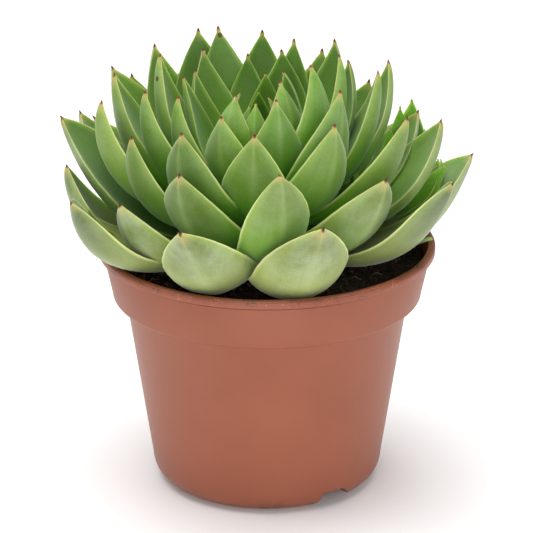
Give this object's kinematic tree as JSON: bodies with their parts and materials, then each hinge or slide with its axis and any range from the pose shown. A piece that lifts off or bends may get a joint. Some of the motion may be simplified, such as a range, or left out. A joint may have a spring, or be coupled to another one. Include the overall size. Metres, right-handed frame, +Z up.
{
  "type": "potted rosette succulent",
  "caption": "Fleshy-leaved rosette succulent with young offset rosettes, filling a tapered round nursery pot with a deep rim band and a notched foot ring.",
  "frame": {"origin": "on the pot's axis, in the plane of the foot ring that it stands on", "axes": "+Z up along the pot's axis; -Y is the front that the picture shows; +X is to the picture's right"},
  "size_m": [0.1468, 0.1488, 0.158],
  "materials": {
    "pot": "satin",
    "soil": "matte",
    "leaf": "satin"
  },
  "bodies": {
    "root": {"pot": "pot", "soil": "soil", "rosette": "leaf"}
  },
  "joints": []
}
